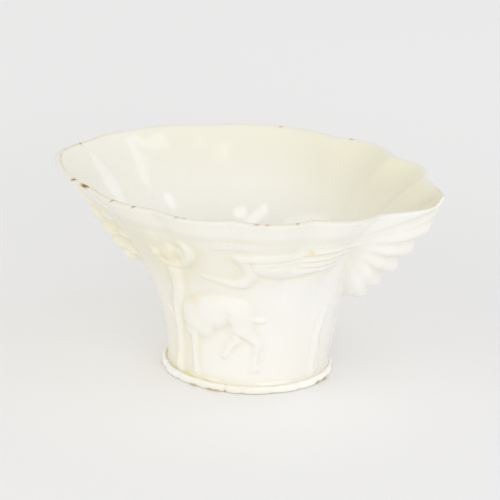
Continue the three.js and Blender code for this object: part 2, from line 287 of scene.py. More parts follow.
def curve_through(points, spans=7):
    """Points of a smooth curve through a few drawn points, with each one's share of the way."""
    points = np.asarray(points, float)
    ends = np.vstack([2 * points[0] - points[1], points, 2 * points[-1] - points[-2]])
    path = []
    for i in range(len(points) - 1):
        before, start, stop, after = ends[i:i + 4]
        for share in np.linspace(0, 1, spans, endpoint=False):
            path.append(0.5 * (2 * start + (stop - before) * share
                               + (2 * before - 5 * start + 4 * stop - after) * share ** 2
                               + (3 * start - before - 3 * stop + after) * share ** 3))
    path.append(points[-1])
    path = np.array(path)
    lengths = np.concatenate([[0], np.cumsum(np.linalg.norm(np.diff(path, axis=0), axis=1))])
    return path, lengths / lengths[-1]


def roll(across, up, points, half_widths, reliefs, plump=2.2):
    """Height of one roll of clay at the given places of the drawing."""
    drawn = [(math.radians(turn) * drawn_radius, height) for turn, height in points]
    path, shares = curve_through(drawn)
    widths = np.interp(shares, np.linspace(0, 1, len(half_widths)), half_widths)
    heights = np.interp(shares, np.linspace(0, 1, len(reliefs)), reliefs)
    raised = np.zeros_like(across)
    for i in range(len(path) - 1):
        step = path[i + 1] - path[i]
        along = ((across - path[i][0]) * step[0] + (up - path[i][1]) * step[1]) / max(step @ step, 1e-9)
        along = np.clip(along, 0, 1)
        aside = np.hypot(across - path[i][0] - along * step[0], up - path[i][1] - along * step[1])
        width = fullness * (widths[i] + (widths[i + 1] - widths[i]) * along)
        height = heights[i] + (heights[i + 1] - heights[i]) * along
        dome = np.clip(1 - (aside / width) ** plump, 0, None) ** dome_power
        raised = np.maximum(raised, height * dome)
    return raised


def soften(field, reach):
    """Blurs a height field as a coat of glaze does; reach is in millimetres."""
    size = max(1, int(round(3 * reach / relief_step)))
    weights = np.exp(-0.5 * (np.arange(-size, size + 1) * relief_step / reach) ** 2)
    weights /= weights.sum()
    wide = np.pad(field, size, mode="edge")
    wide = np.apply_along_axis(np.convolve, 0, wide, weights, "valid")
    return np.apply_along_axis(np.convolve, 1, wide, weights, "valid")


def press(rolls, creases=(), softness=glaze_softness, deepest=0.27):
    """Presses rolls of clay into one sprig: its place in the drawing, its relief, and where glaze pools,
    with painted shade in its hollows and creases.
    """
    turns = [point[0] for drawn in rolls for point in drawn[0]]
    levels = [point[1] for drawn in rolls for point in drawn[0]]
    widest = max(max(drawn[1]) for drawn in rolls) * fullness + drawing_margin
    left = math.radians(min(turns)) * drawn_radius - widest
    right = math.radians(max(turns)) * drawn_radius + widest
    low = min(levels) - widest
    high = max(levels) + widest
    columns = int((right - left) / relief_step)
    rows = int((high - low) / relief_step)
    across, up = np.meshgrid(np.linspace(left, right, columns + 1), np.linspace(low, high, rows + 1))
    blended = np.zeros_like(across)
    for drawn in rolls:
        blended += roll(across, up, *drawn) ** blend_power
    relief = blended ** (1 / blend_power)
    for points, half_widths, depths in creases:
        relief = relief - np.minimum(roll(across, up, points, half_widths, depths), crease_limit * relief)
    relief = soften(relief, softness)
    # Glaze pools in the hollows and creases, and painted shade is laid there with it
    pool_and_shade = np.clip(soften(relief, pool_reach) - relief, 0, deepest)
    return {"left": left, "low": low, "across": across, "up": up, "relief": relief, "pool_and_shade": pool_and_shade,
            "columns": columns, "rows": rows}


def pool_and_shade_on_wall(sprigs, turn, height):
    """How deep the glaze pools on the wall beside the sprigs, with painted shade there."""
    deepest = np.zeros_like(turn)
    for sprig in sprigs:
        middle = (sprig["left"] + sprig["across"][0, -1]) / 2 / drawn_radius
        round_from_front = (turn - 1.5 * np.pi - middle + np.pi) % (2 * np.pi) - np.pi + middle
        column = (round_from_front * drawn_radius - sprig["left"]) / relief_step
        row = (height - sprig["low"]) / relief_step
        held = (column >= 0) & (column < sprig["columns"]) & (row >= 0) & (row < sprig["rows"])
        found = sprig["pool_and_shade"][row[held].astype(int), column[held].astype(int)]
        deepest[held] = np.maximum(deepest[held], found)
    return deepest


# Each sprig: rolls as drawn points [degrees, height], half widths, reliefs and plumpness, then creases


def deer():
    return press([
        ([[-16, 24.2], [-8, 26.6], [1, 28.4], [9, 28]], [4.8, 5.2, 5, 4.7], [1.2, 1.7, 1.6, 1.7], 3.2),
        ([[-17, 22.6], [-13, 21.4]], [4.2, 3.5], [1.3, 1.3], 2.8),
        ([[-18, 24], [-22.5, 22.2]], [3.2, 2.4], [1.1, 0.9], 2.6),
        ([[-22.6, 21.6], [-25, 18.4]], [1.9, 1.1], [0.9, 0.7], 2.4),
        ([[-20.6, 25.4], [-23, 27]], [0.9, 0.5], [1.1, 0.8], 2),
        ([[-20, 18.4], [-21.8, 13], [-22, 8], [-21.6, 4.8]], [1.8, 1.1, 1, 1.2], [1.1, 1, 0.9, 0.9], 2.2),
        ([[11.4, 27.4], [12.8, 22.6]], [4, 3.4], [2, 1.7], 2.8),
        ([[14, 21.4], [19.4, 18.7], [22.8, 16.8], [22.3, 13], [21.2, 9]],
         [2.5, 1.6, 1.25, 1, 1.1], [1.6, 1.3, 1.2, 0.9, 0.9], 2.2),
        ([[19.4, 7.9], [24, 8.3]], [0.95, 0.85], [0.9, 0.8], 2),
        ([[7.4, 21.4], [9.6, 18.2], [5, 15.4], [0.8, 12.2]], [1.7, 1.2, 1, 1.15], [1.4, 1.2, 1, 0.9], 2.2),
        ([[15, 27.6], [20.6, 25.9], [26, 25.1]], [1.2, 1, 0.7], [1.3, 1.1, 0.8], 2),
    ], [
        ([[5.4, 28], [4.9, 24.4], [6.4, 20.8], [14, 18]], [0.9, 0.9, 0.8, 0.7], [0.35, 0.6, 0.6, 0.5]),
        ([[-4.6, 25], [-4.2, 22], [-5, 18.6]], [0.7, 0.8, 0.8], [0.1, 0.3, 0.4]),
    ])


def pine_trunk():
    return press([
        ([[-20.5, 41], [-21.4, 37.5], [-23.6, 33], [-27.2, 29.2], [-31.4, 24.6], [-34, 18], [-36, 11],
          [-38, 4.9]],
         [1.7, 1.75, 1.7, 1.6, 1.5, 1.6, 1.8, 2.2], [1.3, 1.5, 1.4, 1.3, 1.3, 1.2, 1.2, 1.4], 2.4),
        ([[-33, 18], [-39, 23], [-43, 24]], [0.9, 0.8, 0.7], [1, 0.9, 0.7], 2),
        ([[-26, 31], [-21.6, 33]], [0.9, 0.5], [1, 0.6], 2),
    ], [
        ([[-21.6, 37], [-24.4, 32], [-29, 27]], [0.35, 0.4, 0.35], [0.2, 0.3, 0.2]),
        ([[-34, 19], [-35.6, 12], [-37, 7]], [0.35, 0.4, 0.35], [0.25, 0.35, 0.25]),
    ])


def pine_crown():
    return press([
        ([[-26.4, 46], [-25, 46.8]], [1.2, 1.25], [1.5, 1.5], 2.2),
        ([[-27.4, 44.4], [-21.4, 43.5], [-15, 43.5], [-11, 45.2]],
         [1, 1.2, 1.2, 1.1], [1, 1.4, 1.3, 1.2], 2.2),
        ([[-20, 45], [-16.4, 49.8]], [1, 0.8], [1.2, 0.9], 2.2),
        ([[-16.6, 44.8], [-13, 49.2]], [0.9, 0.7], [1.1, 0.8], 2.2),
        ([[-12.4, 44.8], [-8.8, 47.4], [-7.8, 50.4], [-9.4, 52.4]],
         [1.2, 1.1, 1, 0.8], [1.4, 1.5, 1.3, 0.9], 2.2),
        ([[-25, 46.2], [-11, 48]], [1.7, 1.9], [0.6, 0.55], 2.8),
        ([[-22.6, 48], [-22.2, 53]], [0.5, 0.5], [0.04, 0.04], 2),
        ([[-23.8, 51.6], [-20.8, 52.5]], [0.5, 0.4], [0.4, 0.3], 2),
        ([[-23.4, 53.3], [-20.4, 54.2]], [0.5, 0.4], [0.4, 0.3], 2),
    ], [
        ([[-22.6, 45.6], [-22.8, 48.6]], [0.5, 0.45], [0.45, 0.35]),
        ([[-15.6, 46], [-14.2, 48.6]], [0.55, 0.45], [0.5, 0.35]),
    ])


def crane():
    return press([
        ([[-5, 40.8], [2, 39.8], [9, 38.8], [14, 39.4]],
         [0.65, 0.85, 1.3, 1.8], [0.5, 0.65, 0.95, 1.25], 2),
        ([[13.6, 39.4], [17, 42.2], [15.4, 45.8], [12.8, 48.8]],
         [1.7, 1.4, 1.2, 1.3], [1.25, 1.15, 1, 1.05], 2.2),
        ([[12.2, 49.2], [20, 49.5], [28, 49.7], [35, 49.8]], [1.3, 1.6, 1.6, 1.3], [1, 1.25, 1.2, 1], 2.6),
    ], [
        ([[-3, 40.2], [3, 39.3], [8, 38.7]], [0.4, 0.45, 0.4], [0.2, 0.3, 0.2]),
    ], deepest=0.18)


def crane_wing():
    return press([
        ([[22, 46], [32, 45.4], [42, 46.4], [52, 47.2]], [2.6, 3.6, 3.2, 2], [1, 1.15, 1.05, 0.6], 4),
        ([[35, 50.6], [46, 51.8], [56, 52], [65.4, 52.6]], [1, 0.9, 0.7, 0.5], [0.9, 1, 0.9, 0.7], 2.2),
        ([[37, 48.6], [46, 49.2], [58, 49.8]], [1, 1, 0.6], [1.1, 1.2, 0.6], 2.2),
        ([[36, 46.6], [46, 46.9], [54.5, 46.8]], [1, 1, 0.6], [1.1, 1.2, 0.5], 2.2),
        ([[40, 44.8], [49, 44.7], [56, 44.5]], [0.8, 0.9, 0.6], [0.9, 1.1, 0.5], 2.2),
        ([[28, 45.2], [36, 44.6]], [1, 0.9], [1.1, 1], 2.2),
    ], [
        ([[34, 49.6], [46, 50.5], [58, 51]], [0.55, 0.6, 0.45], [0.5, 0.8, 0.5]),
        ([[34, 47.5], [46, 48], [56, 48.4]], [0.55, 0.6, 0.45], [0.5, 0.8, 0.5]),
        ([[36, 45.6], [46, 45.7], [54, 45.8]], [0.55, 0.6, 0.45], [0.5, 0.8, 0.5]),
        ([[24, 46.4], [30, 46.9], [36, 46.6]], [0.55, 0.6, 0.5], [0.3, 0.5, 0.4]),
        ([[27, 48], [33, 48.2]], [0.5, 0.4], [0.35, 0.3]),
    ])


def needle_spray():
    """A few short needles, half lost under the glaze, on a twig that hardly shows."""
    twig_half_widths = [0.5, 0.5, 0.5, 0.5]
    twig_reliefs = [0.03, 0.03, 0.03, 0.03]
    rolls = [([[1, 53.6], [16, 53], [30, 52.8], [44, 54.4]], twig_half_widths, twig_reliefs, 2)]
    upright = [[[foot, 52.6], [foot + 0.9, 55]] for foot in (4, 6.4, 8.8, 11.2, 13.6, 16, 18.4)]
    leaning = [[[foot, 51.8], [foot + 2.4, 54]] for foot in (34, 36.6, 39.2, 41.8, 44.4)]
    for needle in upright + leaning:
        rolls.append((needle, [0.34, 0.26], [0.55, 0.4], 2))
    return press(rolls, softness=0.28)


def prunus_trunk():
    return press([
        ([[69.4, 26.4], [68.2, 21.5], [67.4, 16], [67.6, 11], [68, 4.8]],
         [1, 1.25, 1.35, 1.5, 1.8], [0.5, 0.9, 1, 1, 1], 2),
        ([[66.4, 17], [71.4, 12], [73, 5]], [1.2, 1, 1.1], [0.9, 0.7, 0.7], 2),
    ], [
        ([[68, 19], [67.6, 12], [67.6, 7]], [0.3, 0.35, 0.3], [0.15, 0.2, 0.15]),
    ])


def lip_branch():
    return press([
        ([[-71, 57.6], [-70, 53], [-68.4, 48], [-66.4, 43], [-64, 38.6]],
         [2.2, 2.8, 3.1, 3.1, 2.5], [2, 3.4, 4.3, 4.5, 3.6], 2.2),
        ([[-70, 48], [-61, 51], [-53, 51.6]], [1.4, 1.2, 1], [2, 1.5, 1.1], 2.2),
        ([[-67, 43], [-59, 45.6], [-52, 46]], [1.3, 1.2, 1], [2, 1.5, 1.1], 2.2),
        ([[-77, 46], [-90, 47], [-100, 51]], [1.4, 1.3, 1], [2.4, 1.8, 1.2], 2.2),
        ([[-72, 40], [-82, 39], [-92, 41]], [1.4, 1.2, 1], [2.2, 1.6, 1.1], 2.2),
        ([[-62, 41], [-57.6, 40]], [1.9, 1.6], [2.2, 1.7], 2.4),
    ], [
        ([[-73, 53.4], [-66, 53]], [0.6, 0.6], [0.9, 0.9]),
        ([[-72, 49.4], [-64, 48.8]], [0.6, 0.6], [1.1, 1.1]),
        ([[-70, 45.2], [-62, 44.4]], [0.6, 0.6], [1.2, 1.2]),
        ([[-68, 41], [-61, 40.6]], [0.6, 0.6], [1, 1]),
    ], deepest=0.14)


def shell_end():
    """A shell of rounded ribs that spread from a root on each side and meet on the keel."""
    keel_turn = 90
    tops = [32.8, 38.4, 45.2, 51.4, 57.2, 60.6]
    reliefs = [6.2, 7.4, 7.8, 7, 5.2, 2.4]
    half_widths = [3.3, 3.3, 3.4, 3.3, 2.8, 1.8]
    root_half_width = 1.5
    root_relief = 0.3
    ribs = []
    for i, (top, relief, full) in enumerate(zip(tops, reliefs, half_widths)):
        share = i / (len(tops) - 1)
        root = 46 + 8 * share
        spread = 29 - 5 * (1 - share)
        waist = root + (top - root) * 0.62
        path = [[keel_turn - spread, root], [keel_turn - spread / 2, waist], [keel_turn, top],
                [keel_turn + spread / 2, waist], [keel_turn + spread, root]]
        widths = [root_half_width, 0.85 * full, full, 0.85 * full, root_half_width]
        side = relief * 0.72
        ribs.append((path, widths, [root_relief, side, relief, side, root_relief], 2.4))
    keel = [[keel_turn, height] for height in (34.5, 39, 44, 50, 56)]
    ribs.append((keel, [4.4, 6.4, 7.4, 7, 4.6], [4, 5.4, 6.2, 5.4, 3.4], 2))
    return press(ribs, softness=0.6, deepest=0.2)


def tiger():
    return press([
        ([[166, 19], [178, 17.5], [190, 18.5], [198, 17]], [3.4, 3, 3.3, 3], [1.8, 1.5, 1.8, 1.6], 2.8),
        ([[161, 22], [166, 21]], [3, 2.8], [2, 1.8], 2.6),
        ([[158, 24.6], [159, 25.4]], [0.9, 0.8], [1.6, 1.4], 2),
        ([[165, 24.8], [165.6, 25.6]], [0.9, 0.8], [1.6, 1.4], 2),
        ([[166, 17], [163, 11], [162, 5]], [1.7, 1.3, 1.4], [1.4, 1.1, 1], 2.2),
        ([[171, 16], [172, 10], [170, 5]], [1.6, 1.2, 1.3], [1.2, 1, 1], 2.2),
        ([[191, 16], [188, 10], [190, 5]], [1.7, 1.3, 1.3], [1.3, 1, 1], 2.2),
        ([[197, 15], [200, 10], [198, 5]], [1.8, 1.3, 1.4], [1.4, 1.1, 1], 2.2),
        ([[200, 18], [207, 21], [206, 27], [200, 29]], [1.1, 1, 0.9, 0.9], [1.2, 1.1, 1, 0.9], 2.2),
    ], [
        ([[160, 22.6], [160.4, 22.2]], [0.4, 0.4], [0.5, 0.5]),
        ([[163.6, 22.4], [164, 22]], [0.4, 0.4], [0.5, 0.5]),
    ])


def dragon():
    spine = [(154, 47.6), (160, 48.4), (166, 44.6), (172, 41.2), (178, 39.2), (184, 41), (190, 44),
             (196, 47.2), (202, 48.6)]
    scales = [([[turn, level - 1.2], [turn + 1, level + 1.2]], [0.3, 0.3], [0.35, 0.35])
              for turn, level in spine]
    return press([
        ([[148, 45], [158, 49], [168, 43], [178, 39], [190, 44], [200, 49], [210, 45], [220, 41]],
         [2, 1.9, 1.9, 2, 1.8, 1.5, 1.1, 0.7], [1.8, 1.7, 1.7, 1.7, 1.6, 1.4, 1.1, 0.8], 2.4),
        ([[148, 45.4], [142, 44]], [2.3, 1.6], [2, 1.6], 2.4),
        ([[148, 47], [152, 51.4]], [0.9, 0.6], [1.4, 0.9], 2),
        ([[165, 44], [159, 41], [157, 38]], [1.1, 0.9, 1.1], [1.3, 1, 0.9], 2.2),
        ([[187, 42], [193, 39], [192, 36]], [1.1, 0.9, 1.1], [1.3, 1, 0.9], 2.2),
        ([[176, 40], [172, 36], [174, 33]], [1.1, 0.9, 1.1], [1.3, 1, 0.9], 2.2),
    ], scales)


def far_trunk():
    return press([
        ([[124, 30], [120, 22], [118, 12], [121, 4.9]], [1, 1.4, 1.5, 1.9], [1.1, 1.5, 1.5, 1.5], 2.2),
        ([[119, 18], [126, 13.5], [128, 9]], [1, 0.8, 0.8], [1.1, 0.9, 0.8], 2),
    ])


# Marks of age: the turn in degrees, the reach in millimetres and the strength of each chip or patch of dirt
rim_chips = [(170, 0.6, 0.75), (181, 0.5, 0.5), (218.5, 0.8, 0.9), (226, 1.5, 1.3), (242, 0.35, 0.8),
             (250, 0.35, 0.85), (264.5, 0.8, 0.5), (267, 0.5, 0.5), (287.5, 0.7, 0.58), (290.3, 0.6, 0.52),
             (298.8, 0.6, 0.54), (94.5, 0.5, 0.5), (70.5, 0.5, 0.5)]
foot_chips = [(187, 1.2, 0.7), (202, 1.5, 0.8), (249, 1.5, 0.6), (262, 1.3, 0.7), (267, 1.1, 0.6),
              (343, 1.4, 0.8), (352, 1.8, 0.9), (60, 1.3, 0.6), (118, 1.5, 0.6)]
groove_dirt = [(196, 3.5, 0.9), (222, 4, 0.6), (240, 3, 0.8), (255.5, 2.4, 0.7), (269, 1.4, 0.5),
               (342, 3, 0.3), (358, 2.5, 0.5)]
rim_radius = 50
foot_radius = 26
groove_radius = 24
chip_dip = 0.3

# Painted shade, pooled glaze and painted light on the parts of the wall, and how worn the rim is
lip_side_shade = 0.35
high_tone = 0.25
inner_shade_at_lip = 0.27
inner_shade_gain = 0.25
far_rim_shade = 0.13
rim_top_shade = 0.1
band_line_shade = 0.12
groove_shade = 0.45
fillet_tone = 0.35
well_tone = 0.05
band_painted_light = 0.34
fluted_painted_light = 0.4
rim_painted_light_loss = 0.74
least_wear = 0.08
end_wear = 0.5
tip_shade = 0.32


def lip_shade_and_high_tone(turn, height):
    """Painted shade on the lip side of the wall, where less light falls, and a darker, greener tone high on
    the wall.
    """
    to_lip = lip_side_shade * smooth(-np.cos(turn), -0.5, 0.65) * (1 - 0.6 * smooth(height, 50, 60))
    high = high_tone * smooth(height, 30, 44) * (1 - 0.8 * smooth(np.cos(turn), 0.7, 0.95))
    return to_lip + high


def bell(value, middle, reach):
    """1 at the middle, fading on both sides."""
    return np.exp(-0.5 * ((value - middle) / reach) ** 2)


def near_turn(turn, place, reach, radius):
    """Fades with the distance round the cup from a place, in millimetres at this radius."""
    apart = (np.degrees(turn) - place + 180) % 360 - 180
    return bell(np.radians(apart) * radius, 0, reach)


def wall_rows():
    """The sheet's rows: under the stem, up the outside, over the rim, down the inside to the well.

    A row is named by where it lies, with its height, its share of the way or its turn in the fillet."""
    base_rows = 7
    wall_row_count = 50
    crease_rows = 12
    band_rows = 6
    rim_steps = 10
    inner_rows = 38
    fillet_steps = 12
    fillet_turn = 86
    shoulder = cup_height - rim_rounding
    well_top = floor_top + well_fillet
    crease_half = 1.25 * band_blend
    crease_clear = 1.5 * band_blend
    heights = list(np.linspace(stem_bottom, stem_bottom + 2.4, base_rows))
    heights += list(np.linspace(stem_bottom + 3.2, band_bottom - crease_clear, wall_row_count))
    heights += list(np.linspace(band_bottom - crease_half, band_bottom + crease_half, crease_rows))
    heights += list(np.linspace(band_bottom + crease_clear, shoulder, band_rows))
    rows = [("under", 0), ("under", 0.9)]
    rows += [("outside", height) for height in heights]
    rows += [("rim", share) for share in np.linspace(0, 1, rim_steps)[1:-1]]
    rows += [("inside", height) for height in np.linspace(shoulder, well_top, inner_rows)]
    rows += [("fillet", turn) for turn in np.linspace(0, fillet_turn, fillet_steps)[1:]]
    rows += [("middle", 0)]
    return rows, shoulder, well_top


def blank_marks(names, rows, columns):
    return {name: np.zeros((rows, columns + 1)) for name in names}


def ring_of_turns(columns):
    """One turn for each column; the last column closes on the first."""
    return 2 * np.pi * (np.arange(columns + 1) % columns) / columns


def finish_sheet(piece, places, marks, column, row):
    bend(piece, places[row, column])
    for name, values in marks.items():
        mark(piece, name, values[row, column])
    close_seams(piece)


def cup_wall(sprigs):
    """The wall in one sheet, marked for pooled glaze and painted shade, painted light, chips, dirt and wear,
    with painted shade inside the fluted tip.
    """
    rows, shoulder, well_top = wall_rows()
    columns = 680
    sunk_into_foot = 0.1
    spread_width = 0.5
    spread_height = 1.5
    piece, column, row = sheet_of_clay("cup_wall", columns, len(rows) - 1)
    turns = ring_of_turns(columns)
    places = np.zeros((len(rows), columns + 1, 3))
    marks = blank_marks(("pool_and_shade", "chip", "dirt", "wear_and_tip_shade", "painted_light"), len(rows), columns)
    pool_and_shade, chip, dirt, wear_and_tip_shade, painted_light = marks.values()
    rubbed = np.zeros(columns + 1)
    dip = np.zeros(columns + 1)
    for place, reach, strength in rim_chips:
        rubbed = np.maximum(rubbed, strength * near_turn(turns, place, reach, rim_radius))
        dip = np.maximum(dip, chip_dip * strength * near_turn(turns, place, 0.7 * reach, rim_radius))
    to_fluted = np.cos(turns)
    to_far = np.sin(turns)
    # Painted shade on the inner wall, most towards the fluted end, whose inside faces away from the light
    inner_shade = inner_shade_at_lip + inner_shade_gain * smooth(to_fluted, -0.3, 1)
    rim_tone = lip_shade_and_high_tone(turns, cup_height)
    wear = smooth(-to_far, 0.5, 0.95) + end_wear * smooth(to_fluted, 0.93, 1)
    wear = wear + end_wear * smooth(-to_fluted, 0.8, 0.98)
    rubbed_thin = least_wear + (1 - least_wear) * np.clip(wear, 0, 1)
    for i, (kind, at) in enumerate(rows):
        if kind == "under":
            ring = outside(turns, stem_bottom)
            ring[:, :2] = stem_shift * np.array([1, 0]) * (1 - at) + ring[:, :2] * at
            ring[:, 2] = foot_height - sunk_into_foot
        elif kind == "outside":
            ring = outside(turns, at)
            spread = spread_width * np.clip(1 - (at - stem_bottom) / spread_height, 0, 1) ** 2
            ring[:, :2] += outward_in_plan(turns) * spread
            if at == stem_bottom:
                ring[:, 2] = foot_height - sunk_into_foot
            # Pooled glaze and painted shade beside the sprigs, and painted shade on the lip side
            pool_and_shade[i] = pool_and_shade_on_wall(sprigs, turns, np.full_like(turns, at))
            pool_and_shade[i] += lip_shade_and_high_tone(turns, at)
            # Painted shade under the band's edge, with the glaze pooled there
            pool_and_shade[i] += band_line_shade * bell(at, band_bottom - 1, 1)
            # Pooled glaze and painted shade in the groove above the foot
            pool_and_shade[i] += groove_shade * bell(at, stem_bottom, 1.3)
            # Painted light: the band is painted lighter, most of all at the fluted end
            painted_light[i] = (band_painted_light + fluted_painted_light * smooth(to_fluted, 0.7, 0.95)) * smooth(at, 52, 58)
            for place, reach, strength in groove_dirt:
                patch = strength * bell(at, stem_bottom, 0.9) * near_turn(turns, place, reach, groove_radius)
                dirt[i] = np.maximum(dirt[i], patch)
            chip[i] = 0.5 * rubbed * bell(at, shoulder, 0.4)
        elif kind == "rim":
            ring = outside(turns, shoulder) * (1 - at) + inside(turns, shoulder) * at
            ring[:, 2] += (rim_crown - dip) * np.sin(np.pi * at)
            chip[i] = rubbed * bell(at, 0.6, 0.4)
            wear_and_tip_shade[i] = rubbed_thin * bell(at, 0.85, 0.2)
            # Painted shade over the rim's top, from the outer tone to the inner one
            pool_and_shade[i] = rim_top_shade + inner_shade * at + rim_tone * (1 - at)
        elif kind == "inside":
            ring = inside(turns, at)
            chip[i] = 0.5 * rubbed * bell(at, shoulder, 0.4)
            # Painted shade on the inner wall, less of it deep in the well
            pool_and_shade[i] += inner_shade * (0.25 + 1.05 * smooth(at, 25, 60))
            # Painted shade on the far inner wall below the rim, where the lamps light it most
            pool_and_shade[i] += far_rim_shade * smooth(to_far, 0.3, 0.9) * smooth(at, 48, 62)
            # Painted light deep in the well, less of it towards the rim
            painted_light[i] = 1 - rim_painted_light_loss * smooth(at, 44, 64)
            # Painted shade in the flute inside the fluted tip, in the rust colour of wear
            wear_and_tip_shade[i] = tip_shade * smooth(to_fluted, 0.95, 0.99) * smooth(at, 54, 61)
        elif kind == "fillet":
            bent = math.radians(at)
            ring = inside(turns, well_top - well_fillet * math.sin(bent), 1 - math.cos(bent))
            # Pooled glaze and painted shade in the fillet, with painted light
            pool_and_shade[i] += fillet_tone * inner_shade
            painted_light[i] = 1
        else:
            ring = np.tile([stem_shift * 0.1, 0, floor_top], (columns + 1, 1))
            # The floor of the well: a little darker tone, and painted light
            pool_and_shade[i] += well_tone
            painted_light[i] = 1
        places[i] = ring
    finish_sheet(piece, places, marks, column, row)
    return piece


def foot():
    """A thin plate with a scalloped, rounded edge, hollowed a little underneath."""
    length = stem_length + 2 * foot_overhang
    width = stem_width + 2 * foot_overhang
    to_middle = 30
    columns = 440
    edge_depth = 1.5
    # Pooled glaze and painted shade in the corner by the wall, painted shade on the front, painted light on
    # the two ends
    corner_pool_and_shade = 0.6
    front_shade = 0.34
    middle_painted_light = 0.05
    end_painted_light = 0.75
    # Height and distance from the edge, from the middle underneath round the edge to the middle on top
    profile = [(0.7, to_middle), (0.7, 14), (0.8, 5.6), (0.7, 5.2), (0.12, 4.9), (0, 4.6), (0, 1.4),
               (0.04, 0.7), (0.2, 0.28), (0.55, 0.05), (1, 0), (1.5, 0.03), (2, 0.14), (2.36, 0.36),
               (2.56, 0.66), (2.64, 1), (2.64, 1.3), (2.6, 1.7), (2.5, 2.2), (2.4, 3), (2.4, 6),
               (2.4, to_middle)]
    piece, column, row = sheet_of_clay("foot", columns, len(profile) - 1)
    turns = ring_of_turns(columns)
    wander = turns + 0.05 * np.sin(5 * turns + 1) + 0.03 * np.sin(9 * turns)
    notch = (1 - np.abs(np.sin(10 * wander))) * (0.55 + 0.45 * np.sin(3.5 * wander + 0.8) ** 2)
    scallop = 0.5 - 0.75 * notch ** 2 - 0.15 * np.abs(np.sin(5.5 * turns + 0.4))
    uneven = 0.06 * np.sin(3 * turns + 0.6) + 0.05 * np.sin(7 * turns + 2)
    worn_up = 0.7 * notch ** 3 * (0.5 + 0.5 * np.sin(4 * turns + 0.5))
    places = np.zeros((len(profile), columns + 1, 3))
    marks = blank_marks(("pool_and_shade", "chip", "dirt", "bare", "painted_light"), len(profile), columns)
    pool_and_shade, chip, dirt, bare, painted_light = marks.values()
    for i, (height, inset) in enumerate(profile):
        plan = np.stack([(length / 2 - inset) * np.cos(turns), (width / 2 - inset) * np.sin(turns)], -1)
        if inset >= to_middle:
            plan = np.zeros_like(plan)
        edge = np.exp(-inset / edge_depth)
        pulled = (0.5 - scallop + 0.1 + uneven) * edge
        radius = np.linalg.norm(plan, axis=1)
        places[i, :, :2] = plan * (1 - pulled / np.maximum(radius, 1))[:, None]
        places[i, :, 2] = height + worn_up * edge * np.exp(-((height / 0.8) ** 2))
        low_edge = bell(height, 0.35, 0.5) * edge
        for place, reach, strength in foot_chips:
            chipped = strength * low_edge * near_turn(turns, place, reach, foot_radius)
            chip[i] = np.maximum(chip[i], chipped)
        if height > 2.2:
            # Pooled glaze and painted shade in the corner by the wall
            corner = bell(inset, 1.8, 0.6)
            pool_and_shade[i] += corner_pool_and_shade * corner
            for place, reach, strength in groove_dirt:
                patch = strength * corner * near_turn(turns, place, reach, groove_radius)
                dirt[i] = np.maximum(dirt[i], patch)
        bare[i] = 1.0 if height < 0.9 and inset > 0.6 else 0.0
        # Painted light on the foot's two ends, and painted shade on its front
        painted_light[i] = (middle_painted_light + end_painted_light * np.cos(turns) ** 2) * edge
        pool_and_shade[i] += front_shade * smooth(-np.sin(turns), 0.4, 1) * edge
    finish_sheet(piece, places, marks, column, row)
    return piece


def lay_on_wall(name, sprig, stains=(), pale=0.0):
    """Bends a pressed sprig round the wall, cuts away the clay outside it and gives it a back.

    Each stain has a place in the drawing, a reach in millimetres and a strength."""
    thinnest = 0.3 * sunk_edge
    sharp_edge = math.radians(50)
    piece, column, row = sheet_of_clay(name, sprig["columns"], sprig["rows"])
    turn = sprig["across"] / drawn_radius - np.pi / 2
    stretch = (band_bottom - stem_bottom) / (drawn_top - drawn_bottom)
    height = stem_bottom + (sprig["up"] - drawn_bottom) * stretch
    lifted = (sprig["relief"] - sunk_edge)[..., None] * outward_on_wall(turn, height)
    places = outside(turn, height) + lifted
    relief = sprig["relief"][row, column]
    stain = np.zeros_like(relief)
    drawn_turn = np.degrees(sprig["across"][row, column] / drawn_radius)
    drawn_height = sprig["up"][row, column]
    for at_turn, at_height, reach, strength in stains:
        apart = np.hypot(np.radians(drawn_turn - at_turn) * drawn_radius, drawn_height - at_height)
        stain = np.maximum(stain, strength * bell(apart, 0, reach))
    bend(piece, places[row, column])
    # Pooled glaze and painted shade in the sprig's hollows, painted shade on the lip side, and painted light
    # as much as the sprig is pale
    mark(piece, "pool_and_shade", (sprig["pool_and_shade"] + lip_shade_and_high_tone(turn, height))[row, column])
    mark(piece, "stain", stain)
    mark(piece, "painted_light", np.full_like(relief, pale))
    keep = relief > thinnest
    bpy.ops.object.mode_set(mode="EDIT")
    bpy.ops.mesh.select_mode(type="VERT")
    bpy.ops.mesh.select_all(action="DESELECT")
    bpy.ops.object.mode_set(mode="OBJECT")
    piece.data.vertices.foreach_set("select", ~keep)
    bpy.ops.object.mode_set(mode="EDIT")
    bpy.ops.mesh.delete(type="VERT")
    bpy.ops.object.mode_set(mode="OBJECT")
    backing = piece.modifiers.new("backing", "SOLIDIFY")
    backing.thickness = sprig_back * metre
    backing.offset = -1
    bpy.ops.object.modifier_apply(modifier=backing.name)
    bpy.ops.object.shade_smooth_by_angle(angle=sharp_edge)
    return piece


# Glaze


def link(tree, source, target):
    tree.links.new(source, target)


def noise(tree, coordinates, scale, detail=3, roughness=0.55):
    node = tree.nodes.new("ShaderNodeTexNoise")
    node.inputs["Scale"].default_value = scale
    node.inputs["Detail"].default_value = detail
    node.inputs["Roughness"].default_value = roughness
    link(tree, coordinates, node.inputs["Vector"])
    return node.outputs["Fac"]


def ranged(tree, value, low, high, to_low=0.0, to_high=1.0):
    """Carries a value smoothly from one range to another."""
    node = tree.nodes.new("ShaderNodeMapRange")
    node.interpolation_type = "SMOOTHSTEP"
    node.inputs["From Min"].default_value = low
    node.inputs["From Max"].default_value = high
    node.inputs["To Min"].default_value = to_low
    node.inputs["To Max"].default_value = to_high
    link(tree, value, node.inputs["Value"])
    return node.outputs["Result"]


